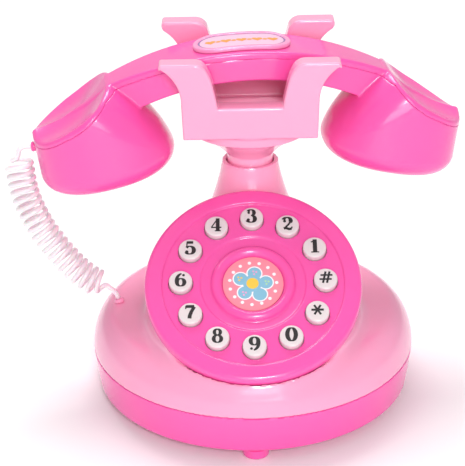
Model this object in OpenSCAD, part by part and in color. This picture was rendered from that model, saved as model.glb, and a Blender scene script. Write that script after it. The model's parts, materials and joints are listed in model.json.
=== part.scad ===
// Toy table telephone: round base, tilted key dial, sprung cradle, arched handset and curly cord.
// Millimetres. +Z up, origin on the table under the middle of the base, -Y is the dial side.

/* [Base] */
// Radius of the base at the seam
base_r = 55; // [54:0.5:57]
// Height of the seam between tray and shell
seam_z = 17.3; // [17:0.1:18]
// Height of the rubbing feet under the tray
foot_h = 4; // [3.5:0.5:4]
// Width of the rounded shoulder of the shell
shoulder_w = 9; // [8:0.5:10]
// Height of the rounded shoulder of the shell
shoulder_h = 13.2; // [12.8:0.1:13.6]
// Wall thickness of the moulded shells
wall = 2; // [1.8:0.1:2.2]

/* [Neck and cradle] */
// Distance of the neck behind the middle of the base
neck_y = 18; // [17.5:0.5:18.5]
// Height of the neck's rim
neck_z = 76.5; // [76.2:0.1:76.8]
// Outer radius of the neck at its rim
neck_r = 9.6; // [9.4:0.1:10]
// Radius of the cradle's stem
stem_r = 7.8; // [7.6:0.1:7.9]
// Distance that the cradle sinks when it is pressed
hook_travel = 2.5; // [1.5:0.5:2.5]
// Height of the cradle's underside
cradle_z = 91.6; // [91.4:0.1:91.8]
// Distance from tip to tip of the horns
horn_span = 59; // [58:0.5:60]
// Depth over the front and back horns
cradle_depth = 42; // [42:0.5:43]

/* [Dial] */
// Radius of the dial plate
dial_r = 35.5; // [35.3:0.1:35.7]
// Tilt of the dial plate away from level, in degrees
dial_tilt = 35; // [34.5:0.5:35.5]
// Radius of the ring of keys
key_ring_r = 23.6; // [23.4:0.1:23.8]
// Radius of one key
key_r = 3.85; // [3.7:0.05:3.9]
// Distance that a key sinks
key_travel = 1.5; // [1:0.1:1.5]

/* [Handset] */
// Turn of the resting handset about the neck, in degrees
handset_yaw = 6; // [5:0.5:6]
// Half of the width of one cup across the handset
cup_half_width = 20.5; // [20:0.1:21]
// Radius of the crown of the handle
handle_arc_r = 110.8; // [110:0.1:111.5]

/* [Cord] */
// Outer diameter of the curly cord
coil_d = 10; // [9.8:0.1:10.2]
// Diameter of the cord itself
wire_d = 1.6; // [1.4:0.1:1.7]

/* [Hidden] */
$fn = 96;

hot_pink = [1, 0.42, 0.7];
light_pink = [1, 0.69, 0.83];
key_white = [0.93, 0.89, 0.89];
steel = [0.75, 0.76, 0.78];
dark = [0.25, 0.25, 0.27];
far = 200;

tray_bottom_r = base_r - 1.5;
dome_slope = 0.11;
dome_top = seam_z + shoulder_h;
dome_peak = dome_top + dome_slope * (base_r - shoulder_w);
screw_ring = 43;
screw_at = [for (a = [28, 152, 208, 332]) screw_ring * [cos(a), sin(a)]];
foot_ring = 48;
foot_at = [for (a = [0 : 90 : 270]) foot_ring * [cos(a), sin(a)]];
foot_r = 4.4;
box_l = 57;
box_w = 35;
box_y = -17;
box_top = 22.5;
cell_r = 7.2;
cell_l = 50.5;
cell_z = 13.25;
speaker_at = [22, 29];
speaker_r = 12;

dial_at = [0, -23.75, 49.9];
dial_rim_w = 0.3;
dial_back_w = -4.3;
drum_r = dial_r - 0.4;
plate_back_w = -2;
pocket_r = 32.4;
key_top_w = 2;
key_flange_r = 4.8;
key_clear = 0.25;
flange_top_w = -2.1;
flange_bottom_w = -3.1;
rubber_top_w = flange_bottom_w - key_travel - 0.4;
post_r = 2.6;
post_ring = 14.5;
post_angles = [90, 210, 330];
board_w = -9;
groove_r = 29.6;
step_r = 17.15;
ridge_r = 11.8;
sticker_r = 9.9;
key_names = ["key_hash", "key_1", "key_2", "key_3", "key_4", "key_5", "key_6", "key_7", "key_8",
    "key_9", "key_0", "key_star"];

neck_foot_r = 26;
neck_foot_z = 32.2;
neck_curve = 1.35;
ledge_z = 63.2;
guide_z = 55.2;
rod_r = 4.1;
stem_bottom_z = 71.7;
stem_waist_z = 79.2;
tower_h = 33.2;
switch_h = 5;
button_h = 2.2;
rod_bottom_z = foot_h + wall + tower_h + switch_h + button_h + hook_travel + 0.8;
core_r = 9.6;
spring_turns = 4;
spring_wire_r = 0.45;

cradle_half = 22;
back_horn_z = 120.8;
front_horn_z = 117.4;
back_notch_z = 104.2;
front_notch_z = 102.3;
notch_half = 10.6;
floor_t = 2.5;
plate_t = 7;
rest_gap = 0.35;

crown_z = 117.9;
handset_shift = -0.6;
handle_end = 47.5;
under_z = 108.3;
under_r = 82;
handle_half_w = 11;
plan_r = 227;
rib_half = 6.5;
swoop_c = [82.35, 134.1];
swoop_r = 44;
shoulder_c = [74, 121.6];
shoulder_r = 30;
cheek_at = [34.5, 101.8];
cheek_rise = 0.46;
cup_reach = 90;
cover_t = 2.2;
cup_at = [46.7, 74.2];
cup_tilt = 12;
cup_rx = 23.6;
cup_draft = 0.07;
cup_h = 34;
cup_round = 7;
cup_power = 2.3;
screw_x = 13;
screw_seat = 108.4;
grille_r = 11.8;
grille_t = 1.2;
grommet_x = 72;
grommet_z = 85.2;

coil_route = [[-78, 9.6, 80.7], [-77.6, 9, 76.5], [-76.6, 8, 69.9], [-74.6, 7.5, 63.5], [-71.6, 7, 56.9],
    [-68, 6, 51.5], [-64, 5, 46.5], [-59.6, 4, 41.8], [-55, 3, 38.4], [-52, 2.4, 37]];
tail_top = [[-73.72, 10.31, 85.2], [-76.2, 9.9, 85.2], [-77.5, 9.8, 84.5], [-78.1, 9.7, 82.9], [-78.05, 9.65, 80.9]];
tail_bottom = [[-51.8, 2.35, 36.9], [-50, 2.2, 36.3], [-48.2, 2.05, 35.1], [-46.75, 2, 33.2], [-46.3, 2, 31.8]];

function arc(c, r, a0, a1, n) = [for (i = [0 : n]) let (a = a0 + (a1 - a0) * i / n)
    [c[0] + r * cos(a), c[1] + r * sin(a)]];
function neck_out(z) = neck_r + (neck_foot_r - neck_r) * pow((neck_z - z) / (neck_z - neck_foot_z), neck_curve);
function unit(v) = v / norm(v);
function handle_top(x) = crown_z - handle_arc_r + sqrt(handle_arc_r * handle_arc_r - x * x);
function swoop(x) = swoop_c[1] - sqrt(swoop_r * swoop_r - pow(x - swoop_c[0], 2));
function shoulder_line(drop) = concat([for (p = arc(shoulder_c, shoulder_r, 208.5, 270, 9)) [p[0], p[1] - drop]],
    [[cup_reach, shoulder_c[1] - shoulder_r - drop]]);
function cheek(x) = cheek_at[1] + cheek_rise * (x - cheek_at[0]);
function under(x) = under_z - under_r + sqrt(under_r * under_r - x * x);

// A round tube of the given radius swept along a list of points.
module sweep(route, radius, sides, across = [0, 1, 0]) {
    count = len(route);
    tangents = [for (i = [0 : count - 1]) unit(route[min(i + 1, count - 1)] - route[max(i - 1, 0)])];
    rings = [for (i = [0 : count - 1]) let (u = unit(cross(tangents[i], across)), v = cross(tangents[i], u))
        for (k = [0 : sides - 1]) route[i] + radius * (cos(360 * k / sides) * u + sin(360 * k / sides) * v)];
    near_side = [for (i = [0 : count - 2], k = [0 : sides - 1])
        [i * sides + k, i * sides + (k + 1) % sides, (i + 1) * sides + k]];
    far_side = [for (i = [0 : count - 2], k = [0 : sides - 1])
        [i * sides + (k + 1) % sides, (i + 1) * sides + (k + 1) % sides, (i + 1) * sides + k]];
    first = [[for (k = [sides - 1 : -1 : 0]) k]];
    last = [[for (k = [0 : sides - 1]) (count - 1) * sides + k]];
    polyhedron(rings, concat(near_side, far_side, first, last));
}

// Places children on the dial plate: +Z out of the dial, +Y up its face.
module at_dial() translate(dial_at) rotate([dial_tilt, 0, 0]) children();
module disc(r, w0, w1) translate([0, 0, w0]) cylinder(r = r, h = w1 - w0);
module ring_of(angles, r) for (a = angles) rotate([0, 0, a]) translate([r, 0, 0]) children();
module at_handset() translate([handset_shift, neck_y, 0]) rotate([0, 0, handset_yaw]) children();
module both_ends() for (m = [0, 1]) mirror([m, 0, 0]) children();
module side_prism(points, width) rotate([90, 0, 0]) linear_extrude(width, center = true) polygon(points);

// Tray: the lower half of the base, with screw bosses and the battery opening.
module tray_outline(inset) polygon([[0, foot_h + inset], [tray_bottom_r - 1 - inset, foot_h + inset],
    [tray_bottom_r - inset, foot_h + 1 + inset], [base_r - inset, seam_z], [0, seam_z]]);
module base_tray() color(hot_pink) difference() {
    union() {
        difference() {
            rotate_extrude() tray_outline(0);
            difference() {
                rotate_extrude() tray_outline(wall);
                for (p = screw_at) translate([p[0], p[1], 0]) cylinder(r = 3.4, h = seam_z);
            }
        }
        difference() {
            translate([0, 0, seam_z - 3]) cylinder(r = base_r - wall - 0.2, h = 4.7);
            translate([0, 0, seam_z - 4]) cylinder(r = base_r - wall - 1.7, h = 7);
        }
        for (p = screw_at) translate([p[0], p[1], foot_h + 1]) cylinder(r = 3.4, h = seam_z - foot_h - 1);
    }
    for (p = screw_at) translate([p[0], p[1], 0]) {
        cylinder(r = 1.7, h = 30);
        cylinder(r = 3, h = 8);
    }
    translate([-box_l / 2 + 2, box_y - box_w / 2 + 2, 0]) cube([box_l - 4, box_w - 4, 10]);
    for (i = [-3 : 3]) translate([speaker_at[0] + i * 2.6 - 0.7, speaker_at[1] - 7, 0])
        cube([1.4, 14, 10]);
}
module feet() color(hot_pink) for (p = foot_at) translate([p[0], p[1], 0]) {
    translate([0, 0, 0.8]) cylinder(r = foot_r, h = foot_h - 0.8);
    cylinder(r1 = foot_r - 0.8, r2 = foot_r, h = 0.8);
}
module tray_screws() color(steel) for (p = screw_at) translate([p[0], p[1], 0]) {
    difference() {
        translate([0, 0, 5.8]) cylinder(r = 2.7, h = 2.2);
        translate([-2, -0.4, 5]) cube([4, 0.8, 1.6]);
        translate([-0.4, -2, 5]) cube([0.8, 4, 1.6]);
    }
    translate([0, 0, 8]) cylinder(r = 1.4, h = 15);
}

// Battery compartment with two cells, their contacts and a screwed door.
module battery_box() color(light_pink) difference() {
    translate([-box_l / 2, box_y - box_w / 2, foot_h + wall]) cube([box_l, box_w, box_top - foot_h - wall]);
    translate([-box_l / 2 + 1.5, box_y - box_w / 2 + 1.5, 0]) cube([box_l - 3, box_w - 3, box_top - 1.5]);
}
module batteries() color(dark) for (s = [-1, 1]) translate([-cell_l / 2, box_y + s * 7.7, cell_z]) rotate([0, 90, 0]) {
    cylinder(r = cell_r, h = cell_l - 1);
    translate([0, 0, cell_l - 1]) cylinder(r = 2.7, h = 1);
}
module battery_contacts() color(steel) for (s = [-1, 1]) translate([s * 26.1 - 0.3, box_y - 14, foot_h + wall + 1])
    cube([0.6, 28, 12]);
module battery_door() color(hot_pink) difference() {
    translate([-box_l / 2 + 2.2, box_y - box_w / 2 + 2.2, foot_h + 0.1]) cube([box_l - 4.4, box_w - 4.4, 1.8]);
    translate([0, box_y, 0]) cylinder(r = 1.2, h = 10);
    translate([0, box_y, 0]) cylinder(r = 2.3, h = foot_h + 0.9);
}
module door_screw() color(steel) translate([0, box_y, 0]) difference() {
    union() {
        translate([0, 0, foot_h + 0.2]) cylinder(r = 2.1, h = 0.7);
        translate([0, 0, foot_h + 0.9]) cylinder(r = 1.1, h = 1.6);
    }
    translate([-1.5, -0.3, foot_h]) cube([3, 0.6, 0.5]);
}
module speaker() color(dark) translate([speaker_at[0], speaker_at[1], foot_h + wall]) {
    cylinder(r = speaker_r, h = 2);
    translate([0, 0, 2]) cylinder(r1 = speaker_r - 1, r2 = 6, h = 3);
    translate([0, 0, 5]) cylinder(r = 6, h = 3);
}
module switch_tower() color(hot_pink) translate([0, neck_y, foot_h + wall]) cylinder(r1 = 5, r2 = 4, h = tower_h);
module hook_switch() color(dark) translate([-4, neck_y - 3, foot_h + wall + tower_h]) {
    cube([8, 6, switch_h]);
    translate([3, 2, switch_h]) cube([2, 2, button_h]);
}

// Shell: domed top of the base with the neck and the drum that carries the dial.
module dome(inset) rotate_extrude() polygon(concat([[0, seam_z]],
    [for (a = [0 : 7.5 : 90]) [base_r - shoulder_w + (shoulder_w - inset) * cos(a),
        seam_z + (shoulder_h - inset) * sin(a)]],
    [[0, dome_peak - inset]]));
module neck_flare(inset, z0, z1) translate([0, neck_y, 0]) rotate_extrude() polygon(concat([[0, z0]],
    [for (i = [0 : 16]) let (z = z0 + (z1 - z0) * i / 16) [neck_out(max(z, neck_foot_z)) - inset, z]], [[0, z1]]));
module neck_rim() translate([0, neck_y, 0]) rotate_extrude() polygon(concat([[0, neck_z - 3]],
    [[neck_out(neck_z - 1.2), neck_z - 1.2]], arc([neck_r - 1.2, neck_z - 1.2], 1.2, 15, 90, 6), [[0, neck_z]]));
module base_shell() color(light_pink) {
    difference() {
        union() {
            dome(0);
            neck_flare(0, 26, neck_z - 1.2);
            neck_rim();
            intersection() {
                at_dial() disc(drum_r, -40, dial_back_w);
                translate([0, 0, 26]) cylinder(r = base_r - 3, h = 60);
            }
        }
        difference() {
            union() {
                dome(wall);
                neck_flare(wall, 27, ledge_z - wall);
                intersection() {
                    at_dial() disc(drum_r - wall, -45, 5);
                    translate([0, 0, 23]) cylinder(r = base_r - shoulder_w + 3, h = 60);
                }
            }
            translate([0, neck_y, guide_z]) cylinder(r = core_r, h = 40);
        }
        translate([0, neck_y, ledge_z]) cylinder(r = stem_r + 0.3, h = 40);
        translate([0, neck_y, guide_z - 1]) cylinder(r = rod_r + 0.3, h = 40);
        base_exit() cylinder(r = 1.6, h = 12, center = true);
        at_dial() disc(dial_r + 0.25, dial_back_w, 40);
    }
    difference() {
        for (p = screw_at) translate([p[0], p[1], seam_z]) cylinder(r = 3.2, h = shoulder_h - 1.3);
        for (p = screw_at) translate([p[0], p[1], seam_z - 1]) cylinder(r = 1.4, h = 6.7);
    }
}
module base_exit() translate([-46, 2, 30.6]) rotate([0, -14, 0]) children();
module base_cord_grommet() color(light_pink) base_exit() {
    translate([0, 0, -2.2]) cylinder(r = 1.55, h = 2.4);
    translate([0, 0, 0.2]) cylinder(r1 = 1.9, r2 = 1.3, h = 0.9);
}

// Dial: plate with twelve key holes and a ringed centre that holds the medallion.
module dial_profile() polygon(concat([[0, plate_back_w]], [[pocket_r, plate_back_w], [pocket_r, dial_back_w],
    [dial_r - 0.5, dial_back_w], [dial_r, dial_back_w + 0.5]],
    arc([dial_r - 1.2, dial_rim_w - 1.2], 1.2, 0, 90, 5),
    [[groove_r + 0.5, 0.7], [groove_r, 0.2], [groove_r - 0.2, 0], [step_r, 0], [step_r - 0.3, -0.5],
        [ridge_r + 2, -0.8]],
    arc([ridge_r, -0.8], 1.6, 30, 150, 6), [[sticker_r + 0.2, -0.6], [sticker_r + 0.1, -1.1], [0, -1.1]]));
module dial_plate() color(hot_pink) at_dial() {
    difference() {
        rotate_extrude() dial_profile();
        ring_of([0 : 30 : 330], key_ring_r) cylinder(r = key_r + key_clear, h = 10, center = true);
    }
    difference() {
        disc(drum_r - wall - 0.2, dial_back_w - 2, dial_back_w);
        disc(pocket_r - 1.2, dial_back_w - 3, 0);
    }
    ring_of(post_angles, post_ring) difference() {
        disc(post_r, board_w, plate_back_w);
        disc(1.1, board_w - 1, board_w + 5);
    }
}
module medallion() color("lightsalmon") at_dial() disc(sticker_r, -1.1, -0.8);
module key(index) color(key_white) at_dial() ring_of([index * 30], key_ring_r) {
    disc(key_r, flange_top_w, key_top_w - 0.6);
    translate([0, 0, key_top_w - 0.6]) cylinder(r1 = key_r, r2 = key_r - 0.6, h = 0.6);
    disc(key_flange_r, flange_bottom_w, flange_top_w);
}
module rubber_keypad() color("gray") at_dial() {
    difference() {
        disc(29.5, rubber_top_w - 1, rubber_top_w);
        ring_of(post_angles, post_ring) disc(post_r + 0.5, rubber_top_w - 2, rubber_top_w + 1);
    }
    ring_of([0 : 30 : 330], key_ring_r) disc(3, board_w + 0.6, rubber_top_w - 1);
}
module circuit_board() color("darkgreen") at_dial() difference() {
    disc(29, board_w - 1.6, board_w);
    ring_of(post_angles, post_ring) disc(1.4, board_w - 2, board_w + 1);
}
module sound_chip() color(dark) at_dial() translate([0, 0, board_w - 3.1])
    cylinder(r1 = 2.5, r2 = 5, h = 1.5);
module dial_screws() color(steel) at_dial() ring_of(post_angles, post_ring) {
    disc(2.4, board_w - 3.2, board_w - 1.6);
    disc(1.1, board_w - 1.6, board_w + 4.5);
}

// Cradle: two U-shaped plates joined by a floor, with a flared stem that presses the hook switch.
function horn_outline(h, top, notch) = concat(
    [[cradle_half - 0.4, cradle_z], [cradle_half, cradle_z + 0.4], [cradle_half + 0.4, notch + 1]],
    arc([h + 6.5, notch + 2], h + 6.1 - cradle_half, 180, 122, 7),
    [[h - 0.1, top - 2], [h, top - 1.2], [h - 1, top]],
    arc([notch_half + 7.4, top - 4.6], 4.6, 90, 150, 5),
    [[notch_half + 1.7, notch + 9.2], [notch_half + 0.6, notch + 4], [notch_half - 0.1, notch + 0.5],
        [notch_half - 0.5, notch]]);
module cradle_plate(top, notch) {
    half = horn_outline(horn_span / 2, top, notch);
    mirrored = [for (i = [len(half) - 1 : -1 : 0]) [-half[i][0], half[i][1]]];
    side_prism(concat(half, mirrored), plate_t);
}
module bell() rotate_extrude() polygon(concat([[0, stem_bottom_z], [stem_r, stem_bottom_z]],
    arc([stem_r + 25.9, stem_waist_z - 22.4], 34.25, 139.1, 113.4, 8), [[cradle_half - 1.6, cradle_z],
    [cradle_half - 1.6, cradle_z + 1], [0, cradle_z + 1]]));
module cradle() color(light_pink) translate([0, neck_y, 0]) {
    translate([0, (plate_t - cradle_depth) / 2, 0]) cradle_plate(front_horn_z, front_notch_z);
    translate([0, (cradle_depth - plate_t) / 2, 0]) cradle_plate(back_horn_z, back_notch_z);
    translate([-cradle_half + 0.4, -cradle_depth / 2 + 1, cradle_z])
        cube([2 * cradle_half - 0.8, cradle_depth - 2, floor_t]);
    for (s = [-1, 1]) intersection() {
        translate([s * (cradle_half - 2.5) - 1.6, -cradle_depth / 2 + 1, cradle_z])
            cube([3.2, cradle_depth - 2, 30]);
        rotate([90, 0, handset_yaw]) translate([0, under_z - under_r - rest_gap, 0])
            cylinder(r = under_r, h = far, center = true, $fn = 180);
    }
    bell();
}
module hook_plunger() color(light_pink) translate([0, neck_y, rod_bottom_z]) difference() {
    cylinder(r = rod_r, h = stem_bottom_z - rod_bottom_z);
    translate([0, 0, guide_z - 2 - rod_bottom_z]) difference() {
        cylinder(r = rod_r + 1, h = 1);
        cylinder(r = rod_r - 0.8, h = 1);
    }
}
module plunger_clip() color(steel) translate([0, neck_y, guide_z - 2]) difference() {
    cylinder(r = 6.4, h = 1);
    cylinder(r = rod_r - 0.8, h = 3, center = true);
}
module hook_spring() color(steel) translate([0, neck_y, 0]) {
    steps = 14;
    pitch = (stem_bottom_z - ledge_z - 2 * spring_wire_r - 0.2) / spring_turns;
    sweep([for (i = [0 : spring_turns * steps]) let (a = 360 * i / steps)
        [6.1 * cos(a), 6.1 * sin(a), ledge_z + spring_wire_r + 0.1 + pitch * i / steps]], spring_wire_r, 6, [0, 0, 1]);
}

// Handset: hollow lower shell and top cover, arched, with a deep cup at each end.
function cup_edge(rx, ry) = [for (a = [0 : 10 : 350]) [rx * sign(cos(a)) * pow(abs(cos(a)), 2 / cup_power),
    ry * sign(sin(a)) * pow(abs(sin(a)), 2 / cup_power)]];
module cup_slice(h, inset) {
    draft = cup_draft * h;
    translate([0, 0, h]) linear_extrude(0.01)
        polygon(cup_edge(cup_rx - draft - inset, cup_half_width - draft - inset));
}
module at_cup() translate([cup_at[0], 0, cup_at[1]]) rotate([0, cup_tilt, 0]) children();
module cup_block(inset) at_cup() hull() {
    for (a = [0, 22.5, 45, 67.5, 90]) cup_slice(inset + cup_round * (1 - cos(a)), inset + cup_round * (1 - sin(a)));
    cup_slice(cup_h, inset);
}
// Everything over the top of a cup, beside the rib: the cheek next to the handle, then the shoulder.
module above_cup(drop) side_prism(concat([[20, cheek(20) - drop], [47, cheek(47) - drop]], shoulder_line(drop),
    [[cup_reach, far], [20, far]]), far);
module plan_lens(half_w) intersection() {
    translate([0, plan_r - half_w, 0]) cylinder(r = plan_r, h = far, $fn = 180);
    translate([0, half_w - plan_r, 0]) cylinder(r = plan_r, h = far, $fn = 180);
}
// The arched handle, pulled in by inset on every side.
module handle_bar(inset) intersection() {
    side_prism(concat([for (x = [-handle_end : 5 : handle_end]) [x, handle_top(x) - inset]],
        [for (x = [38 : -4 : -38]) [x, under(x) + inset]]), far);
    plan_lens(handle_half_w - inset);
}
module rib() side_prism(concat([[handle_end - 9, under_z - 7], [handle_end - 9, handle_top(handle_end - 9)]],
    [for (x = [handle_end : 2.15 : 68]) [x, swoop(x)]], [[68, 91.2]]), 2 * rib_half);
module cup_solid() {
    difference() {
        cup_block(0);
        above_cup(0);
    }
    rib();
}
module split_above() both_ends() side_prism(concat([for (x = [0 : 4 : 44]) [x, handle_top(x) - cover_t]],
    shoulder_line(cover_t), [[cup_reach, far], [0, far]]), far);
module handset_solid() {
    handle_bar(0);
    both_ends() cup_solid();
}
module handset_lower_shell() color(hot_pink) at_handset() difference() {
    handset_solid();
    split_above();
    difference() {
        union() {
            handle_bar(wall);
            both_ends() difference() {
                cup_block(wall);
                above_cup(cover_t);
            }
        }
        both_ends() translate([screw_x, 0, 0]) cylinder(r = 3.2, h = screw_seat + 2);
    }
    both_ends() at_cup() cylinder(r = grille_r + 0.1, h = 2 * grille_t, center = true);
    both_ends() at_cup() cylinder(r = grille_r - 1.5, h = 10, center = true);
    both_ends() translate([screw_x, 0, 90]) {
        cylinder(r = 1.2, h = 40);
        cylinder(r = 2.2, h = screw_seat - 90);
    }
    grommet_axis() cylinder(r = 1.6, h = 8, center = true);
}
module handset_top_cover() color(hot_pink) at_handset() difference() {
    union() {
        intersection() {
            handset_solid();
            split_above();
        }
        both_ends() translate([screw_x, 0, screw_seat + 2.2])
            cylinder(r = 3, h = handle_top(screw_x) - cover_t / 2 - screw_seat - 2.2);
    }
    both_ends() translate([screw_x, 0, 90]) cylinder(r = 1, h = screw_seat + 7 - 90);
}
module handset_screws() color(steel) at_handset() both_ends() translate([screw_x, 0, screw_seat]) {
    translate([0, 0, -1.1]) cylinder(r = 2, h = 1.1);
    cylinder(r = 1, h = 7);
}
module badge_plate() color([1, 0.5, 0.75]) at_handset() intersection() {
    translate([-1.8, 0, crown_z - 4]) linear_extrude(8) hull()
        for (s = [-1, 1]) translate([s * 8.1, 0]) circle(r = 8.2);
    rotate([90, 0, 0]) translate([0, crown_z - handle_arc_r, 0]) difference() {
        cylinder(r = handle_arc_r + 1.5, h = far, center = true, $fn = 180);
        cylinder(r = handle_arc_r + 0.02, h = 2 * far, center = true, $fn = 180);
    }
}
module cup_grille() at_cup() difference() {
    cylinder(r = grille_r, h = grille_t);
    cylinder(r = 0.9, h = 4, center = true);
    ring_of([0 : 60 : 300], 4) cylinder(r = 0.9, h = 4, center = true);
    ring_of([0 : 30 : 330], 8) cylinder(r = 0.9, h = 4, center = true);
}
module earpiece_grille() color(hot_pink) at_handset() cup_grille();
module mouthpiece_grille() color(hot_pink) at_handset() mirror([1, 0, 0]) cup_grille();
module grommet_axis() translate([-grommet_x, 0, grommet_z]) rotate([0, -90, 0]) children();
module handset_cord_grommet() color(hot_pink) at_handset() grommet_axis() {
    translate([0, 0, -2]) cylinder(r = 1.55, h = 2.6);
    translate([0, 0, 0.6]) cylinder(r1 = 1.9, r2 = 1.4, h = 0.8);
}

// Curly cord between the handset's left cup and the base.
module cord_tail_top() color("mistyrose") sweep(tail_top, wire_d / 2, 8);
module cord_coil() color("mistyrose") sweep(coil_route, coil_d / 2, 12);
module cord_tail_bottom() color("mistyrose") sweep(tail_bottom, wire_d / 2, 8);

base_tray();
feet();
tray_screws();
battery_box();
batteries();
battery_contacts();
battery_door();
door_screw();
speaker();
switch_tower();
hook_switch();
base_shell();
dial_plate();
medallion();
for (i = [0 : 11]) key(i);
rubber_keypad();
circuit_board();
sound_chip();
dial_screws();
cradle();
hook_plunger();
plunger_clip();
hook_spring();
handset_lower_shell();
handset_top_cover();
handset_screws();
badge_plate();
earpiece_grille();
mouthpiece_grille();
handset_cord_grommet();
base_cord_grommet();
cord_tail_top();
cord_coil();
cord_tail_bottom();
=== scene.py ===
import json
import math

import bpy
import numpy as np
from mathutils import Matrix, Vector


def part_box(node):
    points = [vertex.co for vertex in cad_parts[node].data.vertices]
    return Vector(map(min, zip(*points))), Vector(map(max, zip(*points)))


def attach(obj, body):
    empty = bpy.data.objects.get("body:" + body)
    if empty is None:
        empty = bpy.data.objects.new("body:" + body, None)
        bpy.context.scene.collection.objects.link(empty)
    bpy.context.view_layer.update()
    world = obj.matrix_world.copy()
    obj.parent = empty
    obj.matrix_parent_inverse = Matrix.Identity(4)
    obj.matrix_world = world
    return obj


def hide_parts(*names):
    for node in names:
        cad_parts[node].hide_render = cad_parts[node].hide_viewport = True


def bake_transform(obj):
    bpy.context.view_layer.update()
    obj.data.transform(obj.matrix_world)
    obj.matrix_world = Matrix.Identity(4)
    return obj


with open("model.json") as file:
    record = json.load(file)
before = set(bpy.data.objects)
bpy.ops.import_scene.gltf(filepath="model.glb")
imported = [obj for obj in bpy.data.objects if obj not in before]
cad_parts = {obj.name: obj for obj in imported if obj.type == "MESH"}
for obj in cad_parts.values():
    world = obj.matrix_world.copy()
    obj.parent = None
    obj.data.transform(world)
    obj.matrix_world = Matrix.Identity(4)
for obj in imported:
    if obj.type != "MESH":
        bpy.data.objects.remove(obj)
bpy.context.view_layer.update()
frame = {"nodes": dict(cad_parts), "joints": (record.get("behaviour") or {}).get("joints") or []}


# ---------------------------------------------------------------------------------------------
# Base tray: the lower half of the base, injection moulded in hot-pink plastic. Its wall leans
# out to the seam, and its floor has the battery opening, four screw wells and the sound slots.
# ---------------------------------------------------------------------------------------------

mm = 0.001
HOT_PINK = (0.94, 0.095, 0.41)
HOT_PINK_DEEP = (0.92, 0.06, 0.35)
wall = 2.0


def flat_shape(points):
    """Distance to a closed outline in its own plane, negative inside it."""
    def field(u, v):
        u, v = np.broadcast_arrays(u, v)
        nearest = np.full(u.shape, 1e9)
        side = np.ones(u.shape)
        for (au, av), (bu, bv) in zip(points, points[1:] + points[:1]):
            eu, ev = bu - au, bv - av
            du, dv = u - au, v - av
            along = np.clip((du * eu + dv * ev) / max(eu * eu + ev * ev, 1e-12), 0, 1)
            nearest = np.minimum(nearest, (du - eu * along) ** 2 + (dv - ev * along) ** 2)
            above, below, left = v >= av, v < bv, eu * dv > ev * du
            crosses = (above & below & left) | ~(above | below | left)
            side = np.where(crosses, -side, side)
        return side * np.sqrt(nearest)
    return field


def meet(a, b, radius):
    """Both shapes at once, with the edge where they meet rounded off."""
    over = np.sqrt(np.maximum(a + radius, 0) ** 2 + np.maximum(b + radius, 0) ** 2)
    return np.minimum(-radius, np.maximum(a, b)) + over


def join(a, b, radius):
    """Either shape, with a fillet where they join."""
    return -meet(-a, -b, radius)


def cut(a, b, radius):
    """The first shape with the second taken away, edges rounded."""
    return meet(a, -b, radius)


def hollow(a, thickness):
    """Only the skin of a shape, of that thickness."""
    return np.maximum(a, -(a + thickness))


def arc(centre, radius, start, end, steps):
    """Points along a round stretch of an outline, angles in degrees."""
    angles = np.radians(np.linspace(start, end, steps + 1))
    return [(centre[0] + radius * math.cos(a), centre[1] + radius * math.sin(a)) for a in angles]


def corner_values(values, cells, offset):
    return values[cells[:, 0] + offset[0], cells[:, 1] + offset[1], cells[:, 2] + offset[2]]


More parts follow.
